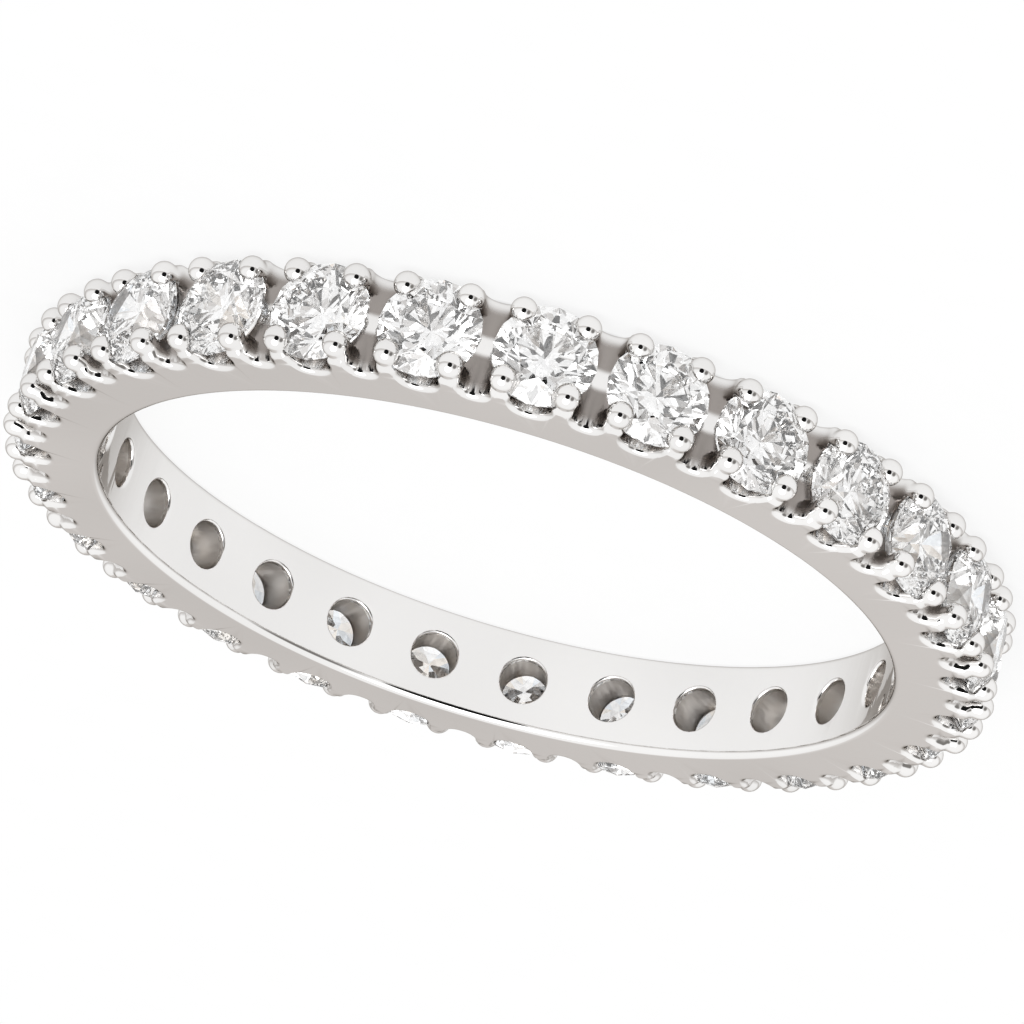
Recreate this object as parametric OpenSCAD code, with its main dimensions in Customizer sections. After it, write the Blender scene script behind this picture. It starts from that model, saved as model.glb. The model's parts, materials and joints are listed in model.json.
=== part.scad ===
// Eternity ring: one cast band with a full row of round brilliants.
// The ring lies on its side. Its axis is Z and it rests on z = 0, with the finger hole open upwards.

/* [Finger hole] */
// Inside diameter of the band
bore_d = 17.3; // [15:0.1:20]

/* [Band] */
// Width of the band, from side face to side face
band_w = 2.2; // [2.1:0.05:2.5]
// Radius of the rounded edges of the finger hole
edge_r = 0.16; // [0.1:0.01:0.2]
// Height of the body over the finger hole, below the prongs' heads
body_h = 1.7; // [1.6:0.01:1.72]
// Width of the channel between the two rows of prongs
channel_w = 1.1; // [1:0.02:1.2]
// Height of the channel's floor over the finger hole
channel_h = 1.46; // [1.42:0.01:1.5]

/* [Stones] */
// How many stones go round the band
stone_n = 27; // [27:1:27]
// Diameter of a stone at its girdle
stone_d = 2.16; // [2:0.02:2.16]
// Height of the girdle's middle over the finger hole
girdle_h = 1.68; // [1.64:0.01:1.76]
// Thickness of the girdle
girdle_t = 0.07; // [0.04:0.01:0.1]
// Width of the table, as a share of the diameter
table_share = 0.56; // [0.5:0.01:0.62]
// Slope of the crown's main facets
crown_angle = 34.5; // [30:0.5:36]
// Slope of the pavilion's main facets
pavilion_angle = 40.8; // [40:0.1:42]
// Gap between a stone and its seat
seat_gap = 0.03; // [0.02:0.005:0.05]

/* [Cuts] */
// Width of the U-shaped cut under a stone
under_w = 0.88; // [0.7:0.02:0.9]
// Height of that cut's floor over the finger hole
under_h = 1.08; // [0.95:0.01:1.12]
// Width of the saddle-shaped cut between two stones
saddle_w = 0.66; // [0.5:0.02:0.7]
// Height of the saddle over the finger hole, at the side faces
saddle_low_h = 1.2; // [1.1:0.01:1.24]
// Height of the saddle over the finger hole, in the middle of the band
saddle_high_h = 1.38; // [1.3:0.01:1.42]
// Diameter of the light hole from the finger hole up to each stone
light_d = 1.02; // [0.8:0.02:1.1]

/* [Prongs] */
// Diameter of a prong's round head
head_d = 0.56; // [0.52:0.01:0.58]
// Diameter of a prong below its head
prong_d = 0.44; // [0.4:0.01:0.48]
// Height of a head's middle over the finger hole
head_h = 1.88; // [1.84:0.01:1.96]
// Distance of a head's middle from the middle of the band
head_side = 0.76; // [0.74:0.01:0.78]
// Distance of a prong's foot from the middle of the band
foot_side = 0.84; // [0.8:0.01:0.86]
// Angle round the ring between a stone and its prongs
prong_angle = 3.65; // [3.6:0.05:3.8]

/* [Hidden] */
bore_r = bore_d / 2;
girdle_r = bore_r + girdle_h;
pitch = 360 / stone_n;
mid_z = band_w / 2;
// Room past a face that a cut runs on for
past = 0.5;
foot_h = 1.2;
facet_turn = 360 / 16;

function two_digits(k) = k < 10 ? str("0", k) : str(k);
function stone_name(k) = str("stone_", two_digits(k));

// Puts its children at a place round the ring, with X outwards from the axis and Z along it.
module around(angle)
  translate([0, 0, mid_z])
    rotate([0, 0, angle])
      children();

// The plain revolved body: rounded at the finger hole, with a channel round its outside.
module body()
  rotate_extrude($fn = 180)
    difference() {
      union() {
        translate([bore_r, edge_r])
          square([body_h, band_w - 2 * edge_r]);
        translate([bore_r + edge_r, 0])
          square([body_h - edge_r, band_w]);
        for (z = [edge_r, band_w - edge_r])
          translate([bore_r + edge_r, z])
            circle(edge_r, $fn = 32);
      }
      translate([bore_r + channel_h, mid_z - channel_w / 2])
        square([body_h, channel_w]);
    }

// A U-shaped cut with its round floor along Z, ending at z = 0: straight walls that open outwards.
module u_cut(width, length) {
  translate([width / 2, 0, 0]) {
    cylinder(d = width, h = length, $fn = 48);
    translate([0, -width / 2, 0])
      cube([girdle_h, width, length]);
  }
}

// The cut under a stone, from side face to side face.
module under_cut()
  translate([bore_r + under_h, 0, -mid_z - past])
    u_cut(under_w, band_w + 2 * past);

// The cut between two stones: from a crest in the middle of the band it falls to both side faces.
module saddle_cut() {
  slope = atan((saddle_high_h - saddle_low_h) / mid_z);
  for (turn = [0, 180])
    rotate([turn, 0, 0])
      translate([bore_r + saddle_high_h, 0, 0])
        rotate([0, -slope, 0])
          u_cut(saddle_w, mid_z + past);
}

// One prong: a slightly leaning finger with a round head.
module prong(side) {
  rise = head_h - foot_h;
  lean = atan((foot_side - head_side) / rise);
  translate([bore_r + head_h, 0, side * head_side]) {
    sphere(d = head_d, $fn = 48);
    rotate([0, -90 - side * lean, 0])
      cylinder(d = prong_d, h = rise / cos(lean), $fn = 48);
  }
}

// The room for one stone: its outline turned round its own axis, a gap larger, open at the top.
module seat() {
  r = stone_d / 2;
  half = girdle_t / 2;
  depth = half + r * tan(pavilion_angle);
  rise = (r - table_share * r) * tan(crown_angle);
  translate([girdle_r, 0, 0])
    rotate([0, 90, 0])
      rotate_extrude($fn = 64)
        polygon([
          [0, -depth - 2 * seat_gap],
          [0.3 * r, -depth - 2 * seat_gap + 0.3 * r * tan(pavilion_angle)],
          [r + seat_gap, -half - 0.6 * seat_gap],
          [r + seat_gap, half + 0.6 * seat_gap],
          [table_share * r + seat_gap, half + rise + seat_gap],
          [table_share * r + seat_gap, half + rise + past],
          [0, half + rise + past]
        ]);
}

// The hole that lets light from the finger hole up to a stone.
module light_hole()
  translate([bore_r - past, 0, 0])
    rotate([0, 90, 0])
      cylinder(d = light_d, h = past + under_h + under_w / 2, $fn = 48);

module band() color("gainsboro")
  difference() {
    union() {
      difference() {
        body();
        for (k = [0 : stone_n - 1]) {
          around(k * pitch) under_cut();
          around((k + 0.5) * pitch) saddle_cut();
        }
      }
      for (k = [0 : stone_n - 1])
        for (turn = [-1, 1])
          for (side = [-1, 1])
            around(k * pitch + turn * prong_angle) prong(side);
    }
    for (k = [0 : stone_n - 1])
      around(k * pitch) {
        seat();
        light_hole();
      }
  }

// A point of a cut stone, at a radius, a number of sixteenths of a turn, and a height.
function at(r, turns, z) = [r * cos(turns * facet_turn), r * sin(turns * facet_turn), z];

// A round brilliant: table, 8 stars, 8 kites, 16 upper halves, girdle, 16 lower halves, 8 mains.
module brilliant() {
  r = stone_d / 2;
  half = girdle_t / 2;
  table_r = table_share * r;
  star_r = table_r + 0.42 * (r - table_r);
  lower_r = 0.24 * r;
  bend = cos(facet_turn);
  crown = tan(crown_angle);
  pavilion = tan(pavilion_angle);
  points = concat(
    [for (i = [0 : 7]) at(table_r, 2 * i, half + (r - table_r) * crown)],
    [for (i = [0 : 7]) at(star_r, 2 * i + 1, half + (r - star_r * bend) * crown)],
    [for (i = [0 : 15]) at(r, i, half)],
    [for (i = [0 : 15]) at(r, i, -half)],
    [for (i = [0 : 7]) at(lower_r, 2 * i + 1, -half - (r - lower_r * bend) * pavilion)],
    [[0, 0, -half - r * pavilion]]
  );
  table = 0;
  star = 8;
  upper = 16;
  lower = 32;
  keel = 48;
  culet = 56;
  faces = concat(
    [[for (i = [7 : -1 : 0]) table + i]],
    [for (i = [0 : 7]) [table + i, table + (i + 1) % 8, star + i]],
    [for (i = [0 : 7]) [table + i, star + i, upper + 2 * i, star + (i + 7) % 8]],
    [for (i = [0 : 7]) [star + i, upper + 2 * i + 1, upper + 2 * i]],
    [for (i = [0 : 7]) [star + i, upper + (2 * i + 2) % 16, upper + 2 * i + 1]],
    [for (i = [0 : 15]) [upper + i, upper + (i + 1) % 16, lower + (i + 1) % 16, lower + i]],
    [for (i = [0 : 7]) [lower + 2 * i, lower + 2 * i + 1, keel + i]],
    [for (i = [0 : 7]) [lower + 2 * i + 1, lower + (2 * i + 2) % 16, keel + i]],
    [for (i = [0 : 7]) [lower + 2 * i, keel + i, culet, keel + (i + 7) % 8]]
  );
  polyhedron(points, faces);
}

module stone(k) color("white")
  around((k - 1) * pitch)
    translate([girdle_r, 0, 0])
      rotate([0, 90, 0])
        brilliant();

band();
for (k = [1 : stone_n])
  stone(k);
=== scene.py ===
# %% [markdown]
# # An eternity ring, lying on its side
#
# The ring is one casting of white gold with a full row of round brilliants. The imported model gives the
# true sizes: here it stays as it is, and this file dresses it. The stones keep their own solids and get
# a diamond's finish. The band's solid is replaced by a mesh of the same sizes whose edges are melted
# together and polished, as a caster's wax and a polisher's wheel leave them.

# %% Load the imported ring
import json
import math

import bmesh
import bpy
import numpy as np
from mathutils import Matrix, Vector


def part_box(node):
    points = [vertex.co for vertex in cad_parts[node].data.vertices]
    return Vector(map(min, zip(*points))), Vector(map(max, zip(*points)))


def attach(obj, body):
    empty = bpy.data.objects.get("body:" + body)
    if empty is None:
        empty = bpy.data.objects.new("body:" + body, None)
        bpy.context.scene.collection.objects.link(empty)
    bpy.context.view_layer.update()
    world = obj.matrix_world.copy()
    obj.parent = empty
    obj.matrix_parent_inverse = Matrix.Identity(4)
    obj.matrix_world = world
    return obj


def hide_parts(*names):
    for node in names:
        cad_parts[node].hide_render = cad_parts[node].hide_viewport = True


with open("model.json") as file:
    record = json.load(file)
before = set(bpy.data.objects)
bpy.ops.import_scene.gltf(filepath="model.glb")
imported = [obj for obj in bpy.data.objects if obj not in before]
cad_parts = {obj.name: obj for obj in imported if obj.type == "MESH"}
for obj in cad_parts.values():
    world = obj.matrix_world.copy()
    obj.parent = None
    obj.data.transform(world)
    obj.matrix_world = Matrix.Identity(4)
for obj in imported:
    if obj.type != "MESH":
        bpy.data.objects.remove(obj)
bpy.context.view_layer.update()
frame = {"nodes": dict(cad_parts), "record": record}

MM = 0.001
stones = [name for name in frame["nodes"] if name.startswith("stone_")]
low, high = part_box("band")
print("stones:", len(stones), "band box in mm:", [round(v / MM, 2) for v in high - low])

# %% [markdown]
# ## The sizes
#
# The finger hole's radius, the band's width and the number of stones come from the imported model. The
# other sizes are the ones that the model's source states, in millimetres, because the band's mesh is
# worked out in millimetres and made small at the end.

# %% Sizes of the ring in millimetres
hole = next(m for m in frame["record"]["mounts"] if m["name"] == "finger_hole")
BORE_R = hole["dims"]["r_mm"]
HALF_W = (high.z - low.z) / MM / 2
STONE_N = len(stones)
HALF_PITCH = math.pi / STONE_N

EDGE_R = 0.16
RIDGE_R = 0.12
BODY_H = 1.7
CHANNEL_W = 1.1
CHANNEL_H = 1.46

STONE_R = 1.08
GIRDLE_R = BORE_R + 1.68
GIRDLE_T = 0.07
CROWN = math.radians(34.5)
PAVILION = math.radians(40.8)
SEAT_GAP = 0.03

UNDER_W = 0.88
UNDER_H = 1.08
SADDLE_W = 0.66
SADDLE_LOW_H = 1.2
SADDLE_HIGH_H = 1.38
SADDLE_CREST = 0.15
LIGHT_R = 0.51

HEAD_R = 0.28
NECK_R = 0.2
FOOT_R = 0.23
PRONG_ANGLE = math.radians(3.65)
HEAD = (BORE_R + 1.88, 0.76)
FOOT = (BORE_R + 1.2, 0.84)

RIM_FILLET = 0.15
FLOW_FILLET = 0.16
CHANNEL_FILLET = 0.1
HEAD_FILLET = 0.05
SEAT_FILLET = 0.02
HOLE_FILLET = 0.08
print("pitch in mm at the girdle:", round(2 * HALF_PITCH * GIRDLE_R, 3))

# %% [markdown]
# ## The band as a rule
#
# A cast and polished ring has no sharp inside corners: each prong flows out of the side face, and each
# cut has a soft rim. Such a shape is hard to build from flat faces, but easy to state as a distance
# rule. Every point in space gets a number, negative in the metal and positive outside it. Two numbers
# are joined by a smooth minimum, which leaves a fillet, and a cut is a smooth maximum with the cut's
# number turned round. All 27 sectors are alike and each is symmetric both ways, so the rule works with
# the distances from the middle of one stone.

# %% Smooth joins and one cut
def smooth_min(a, b, fillet):
    """The smaller of two distances, with a fillet of about this size where they meet."""
    share = np.clip(0.5 + 0.5 * (b - a) / fillet, 0, 1)
    return b + (a - b) * share - fillet * share * (1 - share)


def smooth_max(a, b, fillet):
    return -smooth_min(-a, -b, fillet)


def u_cut(x, y, width, floor_h):
    """A cut along the ring's axis, with a round floor and straight walls that open outwards."""
    middle = BORE_R + floor_h + width / 2
    return np.where(x > middle, abs(y), np.hypot(x - middle, y)) - width / 2


# %% The metal's distance rule
def body_rule(radius, z):
    """The revolved body: a box in radius and width, its edges round, with a channel round its outside."""
    middle = BORE_R + BODY_H / 2
    edge = np.where(radius < middle, EDGE_R, RIDGE_R)
    out = abs(radius - middle) - (BODY_H / 2 - edge)
    side = z - (HALF_W - edge)
    box = np.hypot(np.maximum(out, 0), np.maximum(side, 0)) + np.minimum(np.maximum(out, side), 0) - edge
    channel = np.maximum(z - CHANNEL_W / 2, BORE_R + CHANNEL_H - radius)
    return smooth_max(box, -channel, CHANNEL_FILLET)


def saddle_h(z):
    """Height of the saddle's floor over the finger hole: a soft crest that falls to both side faces."""
    slope = (SADDLE_HIGH_H - SADDLE_LOW_H) / HALF_W
    return SADDLE_HIGH_H - slope * (np.hypot(z, SADDLE_CREST) - SADDLE_CREST)


def prong_rule(x, y, z):
    """A leaning finger that tapers to a neck under its round head."""
    foot = np.array([FOOT[0] * math.cos(PRONG_ANGLE), FOOT[0] * math.sin(PRONG_ANGLE), FOOT[1]])
    head = np.array([HEAD[0] * math.cos(PRONG_ANGLE), HEAD[0] * math.sin(PRONG_ANGLE), HEAD[1]])
    way = head - foot
    along = ((x - foot[0]) * way[0] + (y - foot[1]) * way[1] + (z - foot[2]) * way[2]) / way.dot(way)
    along = np.clip(along, 0, 1)
    near = [c - f - along * w for c, f, w in zip((x, y, z), foot, way)]
    thick = FOOT_R + (NECK_R - FOOT_R) * along
    finger = np.sqrt(near[0] ** 2 + near[1] ** 2 + near[2] ** 2) - thick
    bead = np.sqrt((x - head[0]) ** 2 + (y - head[1]) ** 2 + (z - head[2]) ** 2) - HEAD_R
    return smooth_min(finger, bead, HEAD_FILLET)


def seat_rule(out, rho):
    """The room that a stone needs, a gap larger than the stone, turned round the stone's axis."""
    half = GIRDLE_T / 2
    below = (-half - (STONE_R - rho) * math.tan(PAVILION) - out) * math.cos(PAVILION)
    above = (out - half - (STONE_R - rho) * math.tan(CROWN)) * math.cos(CROWN)
    return np.maximum(np.maximum(below, above), rho - STONE_R) - SEAT_GAP


def metal(x, y, z):
    """Distance to the band's surface: x runs out through a stone, y round the ring, z along its axis."""
    y, z = abs(y), abs(z)
    turned_x = x * math.cos(HALF_PITCH) + y * math.sin(HALF_PITCH)
    turned_y = y * math.cos(HALF_PITCH) - x * math.sin(HALF_PITCH)
    rho = np.hypot(y, z)
    cut = np.minimum(u_cut(x, y, UNDER_W, UNDER_H), u_cut(turned_x, turned_y, SADDLE_W, saddle_h(z)))
    shape = smooth_max(body_rule(np.hypot(x, y), z), -cut, RIM_FILLET)
    shape = smooth_min(shape, prong_rule(x, y, z), FLOW_FILLET)
    shape = np.maximum(shape, z - HALF_W)
    shape = smooth_max(shape, -seat_rule(x - GIRDLE_R, rho), SEAT_FILLET)
    return smooth_max(shape, LIGHT_R - rho, HOLE_FILLET)


NORMAL_STEP = 0.002


def metal_normal(points):
    """The way out of the metal at each point, from small steps of the distance rule."""
    steps = np.eye(3) * NORMAL_STEP
    slope = [metal(*(points + step).T) - metal(*(points - step).T) for step in steps]
    slope = np.stack(slope, 1)
    return slope / np.maximum(np.linalg.norm(slope, axis=1, keepdims=True), 1e-9)


# %% [markdown]
# ## One sector of the band
#
# The rule becomes a mesh by surface nets. A grid bent round the ring is laid over one sector. Each cell
# that the surface crosses gets one point, and each grid edge that it crosses gets a quad between the
# four cells round it. The first and last columns of cells are the same place in neighbouring sectors,
# so the sectors close without a seam.

# %% Surface nets on a bent grid
CELL = 0.028
SETTLING_STEPS = 3


def sector_grid():
    """The grid's angles, heights and radii: whole cells round the ring, one column spare at each end."""
    around = int(round(2 * HALF_PITCH * GIRDLE_R / CELL))
    turn = 2 * HALF_PITCH / around
    angles = -HALF_PITCH + turn * (np.arange(around + 2) - 0.5)
    heights = np.arange(-HALF_W - 2.5 * CELL, HALF_W + 2.6 * CELL, CELL)
    radii = np.arange(BORE_R - 2.5 * CELL, HEAD[0] + HEAD_R + 3 * CELL, CELL)
    return angles, heights, radii


def grid_points(angles, heights, radii):
    a, z, r = np.meshgrid(angles, heights, radii, indexing="ij")
    return np.stack([r * np.cos(a), r * np.sin(a), z], -1)


def cell_points(grid, value):
    """One point for each crossed cell: the mean of the crossings on its twelve edges."""
    size = np.array(value.shape) - 1
    total = np.zeros((*size, 3))
    count = np.zeros(size)
    for axis in range(3):
        lower = [slice(None)] * 3
        upper = [slice(None)] * 3
        lower[axis] = slice(0, -1)
        upper[axis] = slice(1, None)
        a, b = value[tuple(lower)], value[tuple(upper)]
        crossed = (a < 0) != (b < 0)
        share = np.where(crossed, a / np.where(crossed, a - b, 1), 0)[..., None]
        place = grid[tuple(lower)] * (1 - share) + grid[tuple(upper)] * share
        others = [k for k in range(3) if k != axis]
        for i in (0, 1):
            for j in (0, 1):
                part = [slice(None)] * 3
                part[others[0]] = slice(i, i + size[others[0]])
                part[others[1]] = slice(j, j + size[others[1]])
                part = tuple(part)
                total += np.where(crossed[part][..., None], place[part], 0)
                count += crossed[part]
    return total, count


def net_faces(value, index):
    """A quad for each crossed grid edge, its corners in the order that faces outwards.

    Edges on the far sides of the spare columns belong to the neighbouring sectors and are left out.
    """
    faces = []
    last = value.shape[0] - 2
    for axis in range(3):
        p, q = (axis + 1) % 3, (axis + 2) % 3
        lower = [slice(1, -1)] * 3
        upper = [slice(1, -1)] * 3
        lower[axis] = slice(1 if axis == 0 else 0, last + 1 if axis == 0 else -1)
        upper[axis] = slice(2 if axis == 0 else 1, None)
        if axis != 0:
            lower[0] = upper[0] = slice(1, last + 1)
        a, b = value[tuple(lower)], value[tuple(upper)]
        at = np.argwhere((a < 0) != (b < 0))
        entering = a[tuple(at.T)] < 0
        start = np.array([s.start for s in lower])
        at = at + start
        corners = []
        for dp, dq in ((-1, -1), (0, -1), (0, 0), (-1, 0)):
            c = at.copy()
            c[:, p] += dp
            c[:, q] += dq
            corners.append(index[tuple(c.T)])
        quad = np.stack(corners, 1)
        quad[~entering] = quad[~entering][:, ::-1]
        faces.append(quad)
    return np.concatenate(faces)


def sector_net():
    """Points, quads and which points lie in the two columns shared with the neighbouring sectors."""
    grid = grid_points(*sector_grid())
    value = metal(grid[..., 0], grid[..., 1], grid[..., 2])
    total, count = cell_points(grid, value)
    used = count > 0
    index = np.full(count.shape, -1)
    index[used] = np.arange(used.sum())
    points = total[used] / count[used][:, None]
    for _ in range(SETTLING_STEPS):
        points = points - metal(*points.T)[:, None] * metal_normal(points)
    rim = np.zeros(count.shape, bool)
    rim[0] = rim[-1] = True
    return points, net_faces(value, index), rim[used]


net_points, net_quads, net_rim = sector_net()
print("sector net:", len(net_points), "points", len(net_quads), "quads, lowest index", net_quads.min())

# %% [markdown]
# The net is even, but the ring needs its points where it bends: on the heads, rims and fillets. A
# Decimate modifier takes points out of the flat faces. A vertex group keeps it away from the columns
# where the sector meets its neighbours, and from every second point where a side face or the finger
# hole starts to bend, so that no long triangle runs from a flat face into a fillet.

# %% Thin out one sector
SECTOR_TRIANGLES = 7200
NEARLY_FLAT = (0.96, 0.9998)
NEAR_FLAT_FACE = 0.03


def new_mesh(name, points, faces):
    mesh = bpy.data.meshes.new(name)
    mesh.from_pydata([tuple(p) for p in points.tolist()], [], faces.tolist())
    mesh.update()
    piece = bpy.data.objects.new(name, mesh)
    bpy.context.scene.collection.objects.link(piece)
    return piece


def settled(piece):
    """The piece's mesh with its modifiers worked in, as a plain mesh."""
    graph = bpy.context.evaluated_depsgraph_get()
    graph.update()
    return bpy.data.meshes.new_from_object(piece.evaluated_get(graph))


def starts_to_bend(points):
    """Every second point where a side face or the finger hole's wall begins to turn away."""
    normal = metal_normal(points)
    radius = np.hypot(points[:, 0], points[:, 1])
    to_side = abs(normal[:, 2])
    to_hole = -(normal[:, 0] * points[:, 0] + normal[:, 1] * points[:, 1]) / radius
    least, most = NEARLY_FLAT
    side = (to_side > least) & (to_side < most) & (abs(points[:, 2]) > HALF_W - NEAR_FLAT_FACE)
    hole = (to_hole > least) & (to_hole < most) & (radius < BORE_R + NEAR_FLAT_FACE)
    return (side | hole) & (np.arange(len(points)) % 2 == 0)


def thin_sector():
    """The sector's mesh with few points where it is flat."""
    piece = new_mesh("sector", net_points, net_quads)
    group = piece.vertex_groups.new(name="thin_here")
    kept = net_rim | starts_to_bend(net_points)
    print("points kept for the flat faces' edges:", int(kept.sum() - net_rim.sum()))
    group.add([int(i) for i in np.flatnonzero(~kept)], 1.0, "REPLACE")
    thin = piece.modifiers.new("thin", "DECIMATE")
    thin.ratio = SECTOR_TRIANGLES / (2 * len(net_quads))
    thin.vertex_group = group.name
    mesh = settled(piece)
    piece.modifiers.clear()
    piece.vertex_groups.clear()
    piece.data = mesh
    return piece


sector = thin_sector()
print("thinned sector:", len(sector.data.vertices), "points", len(sector.data.polygons), "faces")

# %% [markdown]
# ## The whole band
#
# Geometry Nodes repeat what repeats: a circle of points turns one sector into 27, and Merge by Distance
# welds each to the next.

# %% A small helper for node trees
def add_node(tree, kind, settings=None, **sockets):
    """Adds a node, sets its settings, then gives its sockets values or links.

    A socket is named by its label, with _ for a space, or by i and its number.
    """
    node = tree.nodes.new(kind)
    for key, value in (settings or {}).items():
        setattr(node, key, value)
    for key, value in sockets.items():
        numbered = key[0] == "i" and key[1:].isdigit()
        socket = node.inputs[int(key[1:]) if numbered else key.replace("_", " ")]
        value = getattr(value, "socket", value)
        if isinstance(value, bpy.types.NodeSocket):
            tree.links.new(value, socket)
        else:
            socket.default_value = value
    return node


def new_tree(name, inputs):
    """A Geometry Nodes tree with named inputs: geometry first, then the sizes given."""
    tree = bpy.data.node_groups.new(name, "GeometryNodeTree")
    tree.interface.new_socket("Geometry", in_out="INPUT", socket_type="NodeSocketGeometry")
    for label, kind in inputs:
        tree.interface.new_socket(label, in_out="INPUT", socket_type=kind)
    tree.interface.new_socket("Geometry", in_out="OUTPUT", socket_type="NodeSocketGeometry")
    return tree


def run_tree(piece, tree, values):
    """Puts the tree on the piece, sets its inputs by identifier, and makes the result a plain mesh."""
    modifier = piece.modifiers.new(tree.name, "NODES")
    modifier.node_group = tree
    for item in tree.interface.items_tree:
        if item.in_out == "INPUT" and item.name in values:
            modifier[item.identifier] = values[item.name]
    mesh = settled(piece)
    piece.modifiers.clear()
    piece.data = mesh
    return piece


# %% Repeat the sector round the ring
WELD_DISTANCE = 0.0005


def repeat_tree():
    """The tree that turns one sector into the whole ring."""
    tree = new_tree("repeat_round_ring", [("Copies", "NodeSocketInt"), ("Weld distance", "NodeSocketFloat"),
                                          ("Finish", "NodeSocketMaterial")])
    given = tree.nodes.new("NodeGroupInput")
    copies_n = given.outputs["Copies"]
    points = add_node(tree, "GeometryNodePoints", Count=copies_n)
    count = add_node(tree, "GeometryNodeInputIndex")
    turn = add_node(tree, "ShaderNodeMath", {"operation": "DIVIDE"}, i0=math.tau, i1=copies_n)
    angle = add_node(tree, "ShaderNodeMath", {"operation": "MULTIPLY"},
                     i0=count.outputs[0], i1=turn.outputs[0])
    rotation = add_node(tree, "ShaderNodeCombineXYZ", Z=angle.outputs[0])
    copies = add_node(tree, "GeometryNodeInstanceOnPoints", Points=points.outputs[0],
                      Instance=given.outputs["Geometry"], Rotation=rotation.outputs[0])
    real = add_node(tree, "GeometryNodeRealizeInstances", Geometry=copies.outputs[0])
    weld = add_node(tree, "GeometryNodeMergeByDistance", Geometry=real.outputs[0],
                    Distance=given.outputs["Weld distance"])
    smooth = add_node(tree, "GeometryNodeSetShadeSmooth", Geometry=weld.outputs[0])
    finish = add_node(tree, "GeometryNodeSetMaterial", Geometry=smooth.outputs[0],
                      Material=given.outputs["Finish"])
    end = tree.nodes.new("NodeGroupOutput")
    tree.links.new(finish.outputs[0], end.inputs[0])
    return tree


metal_finish = bpy.data.materials.new("polished_white_gold")
band = run_tree(sector, repeat_tree(),
                {"Copies": STONE_N, "Weld distance": WELD_DISTANCE, "Finish": metal_finish})
band.name = "band_polished"
triangles = sum(len(p.vertices) - 2 for p in band.data.polygons)
look = bmesh.new()
look.from_mesh(band.data)
open_edges = sum(not e.is_manifold for e in look.edges)
print("band:", triangles, "triangles, open edges", open_edges,
      "volume mm3", round(look.calc_volume(signed=True), 1))
look.free()

# %% [markdown]
# The mesh is thin on points, but its shading need not be: the rule knows the exact way out of the metal
# at every point, so that is what the light is told.

# %% Shade by the rule
def fold(points):
    """Brings points anywhere on the ring into the first stone's sector, and says how far they turned."""
    angle = np.arctan2(points[:, 1], points[:, 0])
    turn = np.round(angle / (2 * HALF_PITCH)) * 2 * HALF_PITCH
    c, s = np.cos(turn), np.sin(turn)
    x = points[:, 0] * c + points[:, 1] * s
    y = points[:, 1] * c - points[:, 0] * s
    return np.stack([x, y, points[:, 2]], 1), c, s


def shade_by_rule(piece):
    """Gives each point of the ring's mesh the rule's own way out of the metal."""
    mesh = piece.data
    points = np.empty(len(mesh.vertices) * 3)
    mesh.vertices.foreach_get("co", points)
    local, c, s = fold(points.reshape(-1, 3))
    n = metal_normal(local)
    turned = np.stack([n[:, 0] * c - n[:, 1] * s, n[:, 0] * s + n[:, 1] * c, n[:, 2]], 1)
    mesh.normals_split_custom_set_from_vertices([tuple(v) for v in turned.tolist()])


shade_by_rule(band)
band.data.transform(Matrix.Translation((0, 0, HALF_W * MM + low.z)) @ Matrix.Scale(MM, 4))
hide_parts("band")
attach(band, "root")

# %% [markdown]
# ## Finishes
#
# Finishes are worked out by nodes too. Numbers in them are written as plain sums: a small class wraps a
# node's socket, and Python's operators on it add the maths nodes.

# %% Numbers as expressions
class Number:
    """A number in a node tree, with operators that add maths nodes."""

    def __init__(self, socket):
        self.socket = socket
        self.tree = socket.id_data

    def maths(self, operation, *numbers):
        sockets = {f"i{k}": number for k, number in enumerate(numbers)}
        return Number(add_node(self.tree, "ShaderNodeMath", {"operation": operation}, **sockets).outputs[0])

    def __add__(self, other):
        return self.maths("ADD", self, other)

    def __sub__(self, other):
        return self.maths("SUBTRACT", self, other)

    def __rsub__(self, other):
        return self.maths("SUBTRACT", other, self)

    def __mul__(self, other):
        return self.maths("MULTIPLY", self, other)

    def __truediv__(self, other):
        return self.maths("DIVIDE", self, other)

    __radd__ = __add__
    __rmul__ = __mul__

    def size(self):
        """The number without its sign."""
        return self.maths("ABSOLUTE", self)

    def between(self, start, end):
        """0 at the start and 1 at the end, eased at both."""
        node = add_node(self.tree, "ShaderNodeMapRange", {"interpolation_type": "SMOOTHSTEP"},
                        Value=self, From_Min=start, From_Max=end)
        return Number(node.outputs[0])


def blend(tree, share, first, second):
    """A colour between two others."""
    return add_node(tree, "ShaderNodeMix", {"data_type": "RGBA"}, i0=share, i6=first, i7=second).outputs[2]


def surface_of(material):
    """The material's node tree and its surface shader."""
    material.use_nodes = True
    return material.node_tree, material.node_tree.nodes["Principled BSDF"]


def set_sockets(node, **sockets):
    """Gives a node's sockets values or links, named by label with _ for a space."""
    for key, value in sockets.items():
        value = getattr(value, "socket", value)
        if isinstance(value, bpy.types.NodeSocket):
            node.id_data.links.new(value, node.inputs[key.replace("_", " ")])
        else:
            node.inputs[key.replace("_", " ")].default_value = value


def grain(tree, per_mm, detail=2.0):
    """Noise in the ring's own space, with this many waves to the millimetre."""
    place = add_node(tree, "ShaderNodeTexCoord").outputs["Object"]
    noise = add_node(tree, "ShaderNodeTexNoise", Vector=place, Scale=per_mm / MM, Detail=detail)
    return Number(noise.outputs[0])
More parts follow.
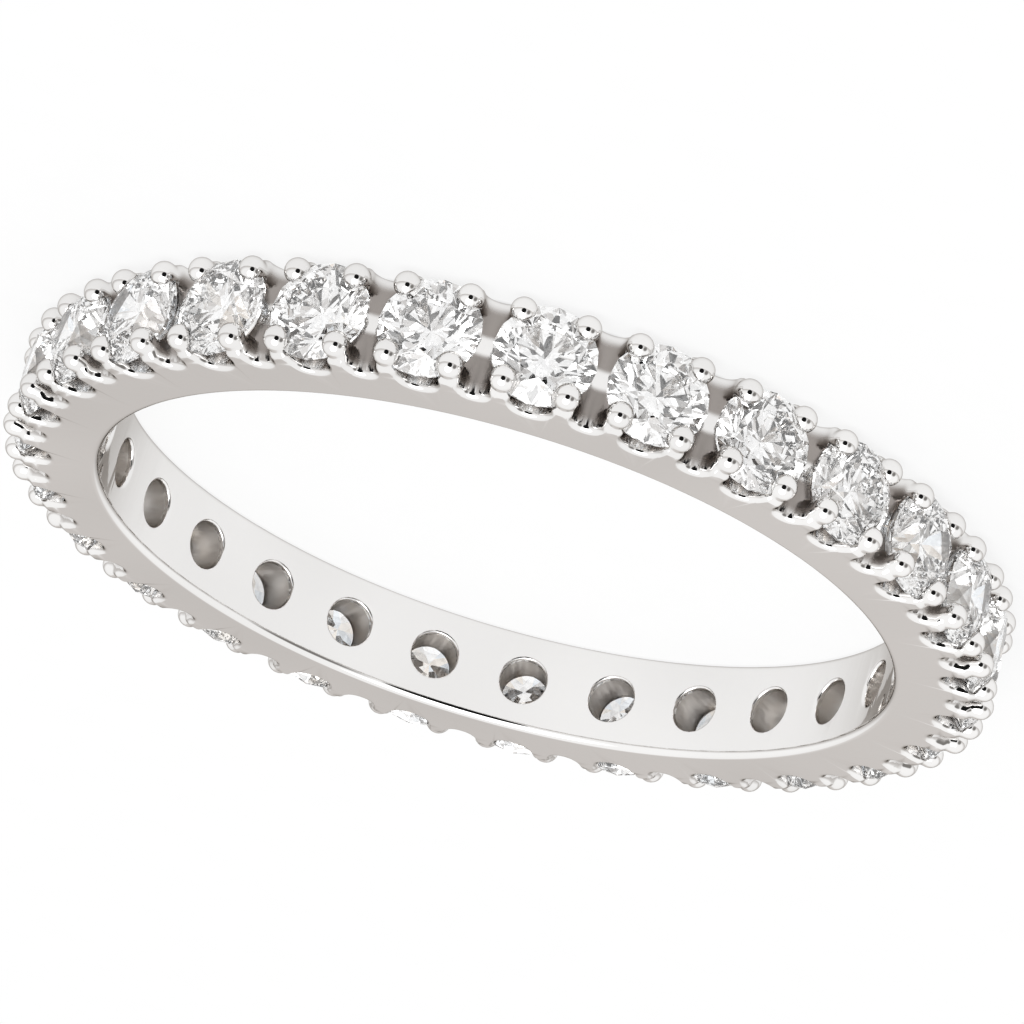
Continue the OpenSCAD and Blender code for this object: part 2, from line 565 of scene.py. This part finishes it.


# %% [markdown]
# White gold is plated with rhodium and polished. The wheel reaches the side faces, the finger hole and
# the prongs, and leaves a mirror with the faintest waves and hairlines. It does not reach into the cuts
# and light holes, which stay a little rougher. Their colour is darkened too: painted shade for the light
# that hardly reaches in there. How deep a point lies follows from its height over the finger hole and
# its distance from the side faces.

# %% White gold
POLISHED = (0.89, 0.88, 0.87, 1)
HAZED = (0.82, 0.81, 0.80, 1)
# The colours for the cuts and light holes are painted shade: darker metal where light hardly reaches.
PAINTED_SHADE_IN_CUTS = (0.36, 0.33, 0.31, 1)
PAINTED_SHADE_IN_HOLES = (0.80, 0.765, 0.73, 1)
EDGE_SHINE = (0.55, 0.53, 0.51, 1)

HAZE_PER_MM = 0.16
SHADE_AND_SATIN_PER_MM = 1.5
WAVES_PER_MM = 4.0
HAIRLINES_PER_MM = 30.0


def ring_place(tree):
    """A point's height over the finger hole and its distance from the middle of the band, in mm."""
    place = add_node(tree, "ShaderNodeTexCoord").outputs["Object"]
    flat = add_node(tree, "ShaderNodeVectorMath", {"operation": "MULTIPLY"}, i0=place, i1=(1, 1, 0))
    length = add_node(tree, "ShaderNodeVectorMath", {"operation": "LENGTH"}, i0=flat.outputs[0])
    radius = Number(length.outputs["Value"])
    along = Number(add_node(tree, "ShaderNodeSeparateXYZ", Vector=place).outputs["Z"])
    return radius / MM - BORE_R, (along / MM - HALF_W).size()


def cut_depth(height, aside):
    """How far a point lies in the cuts and light holes, out of the polishing wheel's reach: 0 to 1. It
    drives the rougher satin there and the painted shade that darkens the colour; the saddle's crest is left
    out of it, as it faces the light.
    """
    inside = (HALF_W - aside).between(0.05, 0.4) * height.between(0.04, 0.2)
    crest = (1 - aside.between(0.1, 0.3)) * height.between(SADDLE_LOW_H + 0.02, SADDLE_LOW_H + 0.12)
    return inside * (1 - height.between(CHANNEL_H + 0.1, CHANNEL_H + 0.35)) * (1 - crest)


def finish_gold(material):
    tree, gold = surface_of(material)
    height, aside = ring_place(tree)
    deep = cut_depth(height, aside)
    bored = 1 - height.between(UNDER_H - 0.2, UNDER_H)
    haze = grain(tree, HAZE_PER_MM, 1.0).between(0.35, 0.75)
    # Deep in the cuts and light holes this darkens the colour as painted shade and roughens the metal as
    # unpolished satin.
    shade_and_satin = (deep * (0.8 + 0.4 * grain(tree, SHADE_AND_SATIN_PER_MM))).between(0.0, 1.0)
    open_face = blend(tree, haze, POLISHED, HAZED)
    painted_shade_colour = blend(tree, bored, PAINTED_SHADE_IN_CUTS, PAINTED_SHADE_IN_HOLES)
    waves = add_node(tree, "ShaderNodeBump", Strength=0.04, Distance=0.02 * MM,
                     Height=grain(tree, WAVES_PER_MM))
    hairlines = grain(tree, HAIRLINES_PER_MM, 1.0)
    set_sockets(gold, Base_Color=blend(tree, shade_and_satin, open_face, painted_shade_colour), Metallic=1.0,
                Specular_Tint=EDGE_SHINE, Normal=waves.outputs[0],
                Roughness=0.03 + 0.02 * hairlines + 0.26 * shade_and_satin + 0.09 * shade_and_satin * bored)


finish_gold(metal_finish)

# %% [markdown]
# A brilliant's look comes from its facets and from light that turns round inside it twice. Its fire,
# white light spread into colours, is stood for by a faint tint that changes from facet to facet under
# the girdle.

# %% Diamond
CLEAR = (1, 1, 1, 1)
COOL = (0.84, 0.92, 1.0, 1)
WARM = (1.0, 0.91, 0.80, 1)
FACETS_PER_TURN = 9.0


def finish_diamond(material):
    tree, clear = surface_of(material)
    height, _ = ring_place(tree)
    below = 1 - height.between(GIRDLE_R - BORE_R - 0.1, GIRDLE_R - BORE_R)
    way = add_node(tree, "ShaderNodeNewGeometry").outputs["Normal"]
    noise = add_node(tree, "ShaderNodeTexNoise", Vector=way, Scale=FACETS_PER_TURN, Detail=0.0)
    tint = Number(noise.outputs[0])
    fire = blend(tree, tint.between(0.36, 0.46), COOL, CLEAR)
    fire = blend(tree, tint.between(0.58, 0.68), fire, WARM)
    set_sockets(clear, Base_Color=blend(tree, below, CLEAR, fire), Roughness=0.0, IOR=2.42,
                Transmission_Weight=1.0)


diamond = bpy.data.materials.new("cut_diamond")
finish_diamond(diamond)
for name in stones:
    for slot in frame["nodes"][name].material_slots:
        slot.material = diamond

# %% [markdown]
# ## Camera, floor and light
#
# The photo was taken with a long lens from a little above the side face, with the camera rolled almost
# upside down. Angles, roll, distance and offset were fitted to it.

# %% Camera
VIEW_LIFT = math.radians(20.49)
VIEW_TURN = math.radians(-68.41)
VIEW_ROLL = math.radians(-163.0)
VIEW_DISTANCE = 209.0 * MM
VIEW_OFFSET = (0.093 * MM, 0.444 * MM)
LENS = 350.24
SENSOR = 36

ring_middle = Vector((0, 0, (low.z + high.z) / 2))
toward = Vector((math.cos(VIEW_LIFT) * math.cos(VIEW_TURN), math.cos(VIEW_LIFT) * math.sin(VIEW_TURN),
                 math.sin(VIEW_LIFT)))
aim = toward.to_track_quat("Z", "Y").to_matrix() @ Matrix.Rotation(VIEW_ROLL, 3, "Z")
camera = bpy.data.objects.new("camera", bpy.data.cameras.new("camera"))
camera.data.lens = LENS
camera.data.sensor_width = SENSOR
camera.data.clip_start = 0.01
camera.data.clip_end = 10
camera.location = ring_middle + aim @ Vector((VIEW_OFFSET[0], VIEW_OFFSET[1], VIEW_DISTANCE))
camera.rotation_euler = aim.to_euler()
bpy.context.scene.collection.objects.link(camera)
bpy.context.scene.camera = camera

# %% [markdown]
# The floor is a light table: white paper lit from below, so that the ring's shadow on it is very pale.
# Right under the ring its glow gives way to a dark colour, a painted shadow, which keeps the cuts from
# glowing.

# %% Floor
FLOOR_SIZE = 3.0
PAPER = ((0.115, 0.115, 0.115, 1), (0.125, 0.125, 0.125, 1))
GLOW = (1, 1, 1, 1)
# The colour of the painted shadow under the ring.
PAINTED_SHADOW_UNDER_RING = (0.04, 0.037, 0.035, 1)

floor = new_mesh("floor", np.array([(-1, -1, 0), (1, -1, 0), (1, 1, 0), (-1, 1, 0)]) * FLOOR_SIZE / 2,
                 np.array([[0, 1, 2, 3]]))
paper = bpy.data.materials.new("pale_paper")
paper_tree, paper_surface = surface_of(paper)
fibre = grain(paper_tree, 0.8)
where = add_node(paper_tree, "ShaderNodeTexCoord").outputs["Object"]
length = add_node(paper_tree, "ShaderNodeVectorMath", {"operation": "LENGTH"}, i0=where)
from_axis = Number(length.outputs["Value"]) / MM
# Painted shadow: a band of floor under the ring where the glow turns dark.
painted_shadow_zone = (from_axis.between(BORE_R + 0.1, BORE_R + 0.5)
           * (1 - from_axis.between(GIRDLE_R - 0.9, GIRDLE_R - 0.4)))
set_sockets(paper_surface, Base_Color=blend(paper_tree, fibre, *PAPER), Roughness=0.9,
            Specular_IOR_Level=0.0, Emission_Strength=0.84,
            Emission_Color=blend(paper_tree, painted_shadow_zone, GLOW, PAINTED_SHADOW_UNDER_RING))
floor.data.materials.append(paper)

# %% [markdown]
# Jewellery is lit in a white tent. A polished ring shows the tent itself, so the light is a tent all
# round: white and brighter over the camera, with greyer walls low down, a soft grey wall far behind the
# ring that the side face mirrors, a dark streak at one side, and the dark hole that the camera looks in
# through. Each is a patch of directions that lies over those before it.

# %% Light
scene = bpy.context.scene
world = bpy.data.worlds.new("studio_tent")
scene.world = world
world.use_nodes = True
tent = world.node_tree


def toward_view(side, lift):
    """A direction turned sideways and up from the way to the camera, in degrees."""
    turn, rise = VIEW_TURN + math.radians(side), VIEW_LIFT + math.radians(lift)
    return (math.cos(rise) * math.cos(turn), math.cos(rise) * math.sin(turn), math.sin(rise))


def patch(direction, inner, outer):
    """1 within an angle of a direction and 0 outside a wider one, in degrees."""
    way = add_node(tent, "ShaderNodeTexCoord").outputs["Generated"]
    dot = add_node(tent, "ShaderNodeVectorMath", {"operation": "DOT_PRODUCT"}, i0=way, i1=direction)
    return Number(dot.outputs["Value"]).between(math.cos(math.radians(outer)), math.cos(math.radians(inner)))


def skyward():
    """How steeply a direction rises: 0 at the horizon and 1 overhead."""
    way = add_node(tent, "ShaderNodeTexCoord").outputs["Generated"]
    return Number(add_node(tent, "ShaderNodeSeparateXYZ", Vector=way).outputs["Z"])


TENT_WHITE = (1.05, 1.05, 1.05, 1)
PATCHES = (
    ("low walls", 1 - skyward().between(0.02, 0.4), (0.62, 0.6, 0.585, 1)),
    ("key light", patch(toward_view(10, 42), 12, 30), (4.0, 4.0, 4.0, 1)),
    ("far wall", patch(toward_view(180, 0), 12, 22), (0.85, 0.825, 0.81, 1)),
    ("dark streak", patch(toward_view(-46, 0), 8, 22), (0.22, 0.21, 0.2, 1)),
    ("lens hole", patch(toward_view(0, 0), 19, 21), (0.01, 0.01, 0.01, 1)),
)
colour = TENT_WHITE
for _, share, tone in PATCHES:
    colour = blend(tent, share, colour, tone)
set_sockets(tent.nodes["Background"], Color=colour, Strength=1.0)
scene.view_settings.view_transform = "Standard"

# A light path turns round many times inside a stone before it leaves.
scene.cycles.max_bounces = 24
scene.cycles.glossy_bounces = 20
scene.cycles.transmission_bounces = 20
